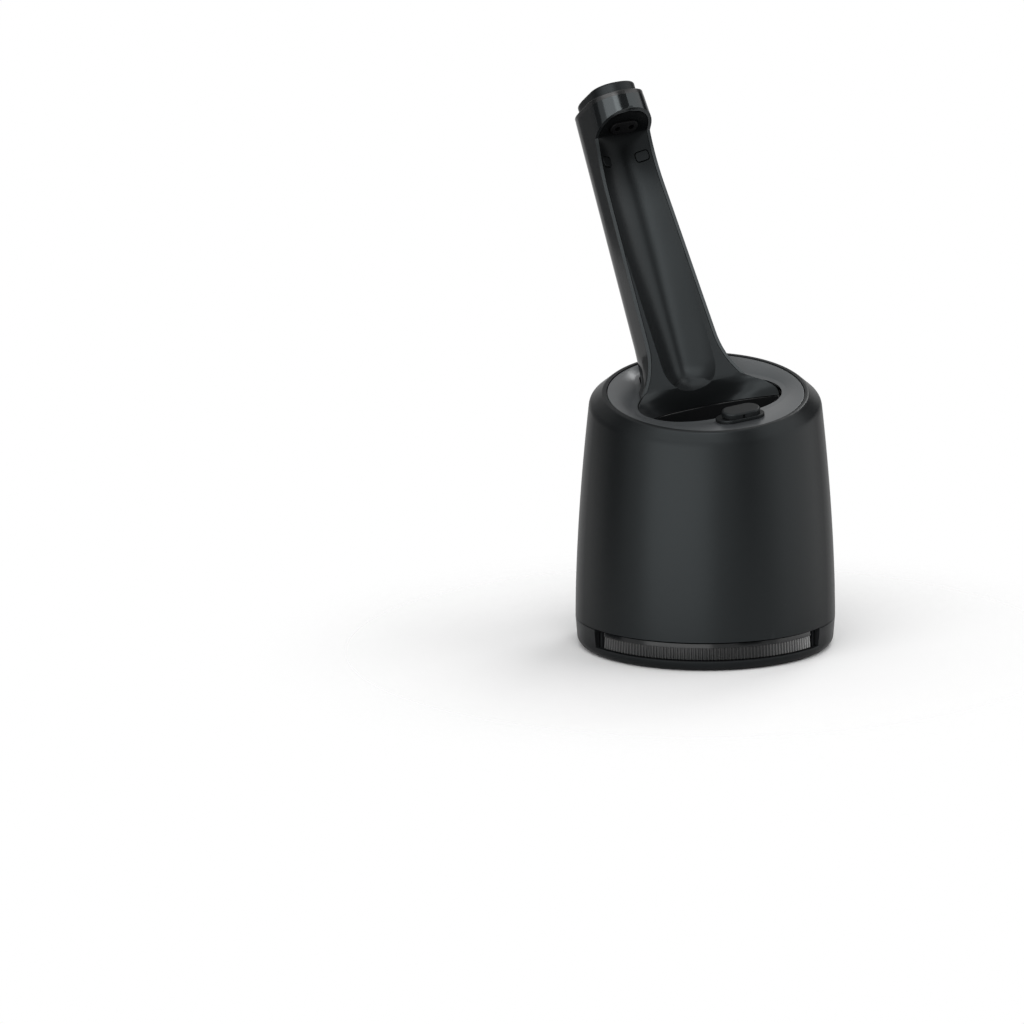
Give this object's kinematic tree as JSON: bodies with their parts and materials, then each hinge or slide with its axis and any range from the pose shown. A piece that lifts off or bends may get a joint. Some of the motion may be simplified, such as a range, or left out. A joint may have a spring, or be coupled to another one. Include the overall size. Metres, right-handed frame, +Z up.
{
  "type": "shaver cleaning station",
  "caption": "Free-standing cleaning and charging station for an electric shaver: round tapered housing, tilted wash basin and a leaning arm with hood, charging plug and start button.",
  "frame": {"origin": "middle of the base's underside, on the table", "axes": "+Z up; -Y toward the front, where the cartridge window is; +X to the right seen from the front. The basin's plate tilts toward -Y and the arm leans toward +Y and -X"},
  "size_m": [0.11, 0.1149, 0.2356],
  "materials": {
    "base_black": "semi-gloss, moulded",
    "foot_rubber": "matt",
    "steel_bright": "ground",
    "steel_zinc": "zinc plated",
    "tank_smoke": "smoky clear",
    "lid_dark": "moulded",
    "housing_charcoal": "fine satin",
    "plate_grey": "satin",
    "basin_black": "glossy",
    "seal_black": "matt",
    "inner_grey": "moulded",
    "motor_metal": "plated can",
    "impeller_pale": "moulded",
    "hose_grey": "matt",
    "board_green": "solder resist",
    "socket_black": "moulded",
    "contact_gold": "plated",
    "button_black": "satin",
    "arm_charcoal": "fine satin, glossy band on the hood",
    "panel_charcoal": "fine satin",
    "ring_smoke": "smoky clear"
  },
  "bodies": {
    "base": {"base_tray": "base_black", "rubber_feet": "foot_rubber", "guide_posts": "steel_bright", "base_screws": "steel_zinc", "lift_springs": "steel_bright", "cartridge_tank": "tank_smoke", "cartridge_lid": "lid_dark"},
    "housing": {"housing_shell": "housing_charcoal", "top_plate": "plate_grey", "wash_tray": "basin_black", "tray_seal": "seal_black", "drain_seal": "seal_black", "drain_pipe": "inner_grey", "inner_chassis": "inner_grey", "chassis_screws": "steel_zinc", "pump_chamber": "inner_grey", "pump_motor": "motor_metal", "intake_pipe": "inner_grey", "delivery_hose": "hose_grey", "fluid_spout": "button_black", "main_circuit_board": "board_green", "power_socket": "socket_black", "socket_pins": "contact_gold", "latch_pins": "steel_bright", "latch_springs": "steel_bright", "arm_rear_shell": "arm_charcoal", "arm_front_panel": "panel_charcoal", "panel_pads": "panel_charcoal", "charging_plug": "socket_black", "contact_sleeves": "contact_gold", "arm_cable": "seal_black", "hood_circuit_board": "board_green", "light_ring": "ring_smoke", "button_spring": "steel_bright"},
    "lift_button": {"lift_button": "button_black"},
    "latch": {"latch": "inner_grey"},
    "pump_rotor": {"pump_rotor": "impeller_pale"},
    "start_button": {"start_button": "button_black"}
  },
  "joints": [
    {"name": "housing_lift", "type": "slide", "parent": "base", "child": "housing", "axis": [0, 0, 1], "range_m": [0, 0.048], "deforming": ["lift_springs"]},
    {"name": "lift_button_press", "type": "slide", "parent": "housing", "child": "lift_button", "axis": [0, -1, 0], "range_m": [0, 0.003], "stiffness_N_per_m": 300, "springref_m": -0.001},
    {"name": "latch_turn", "type": "hinge", "parent": "housing", "child": "latch", "pos_m": [0, 0.042, 0.032], "axis": [1, 0, 0], "range_deg": [0, 10.8], "stiffness_Nm_per_rad": 0.02, "springref_deg": -5.73},
    {"name": "pump_spin", "type": "hinge", "parent": "housing", "child": "pump_rotor", "pos_m": [0, 0.031, 0.07], "axis": [0, 0, 1], "continuous": true},
    {"name": "start_press", "type": "slide", "parent": "housing", "child": "start_button", "axis": [0.2793, -0.312, -0.9081], "range_m": [0, 0.0012], "stiffness_N_per_m": 400, "springref_m": -0.0006}
  ],
  "couplings": [
    {"joint": "latch_turn", "follows": "lift_button_press", "rad_per_m": 62.5}
  ]
}
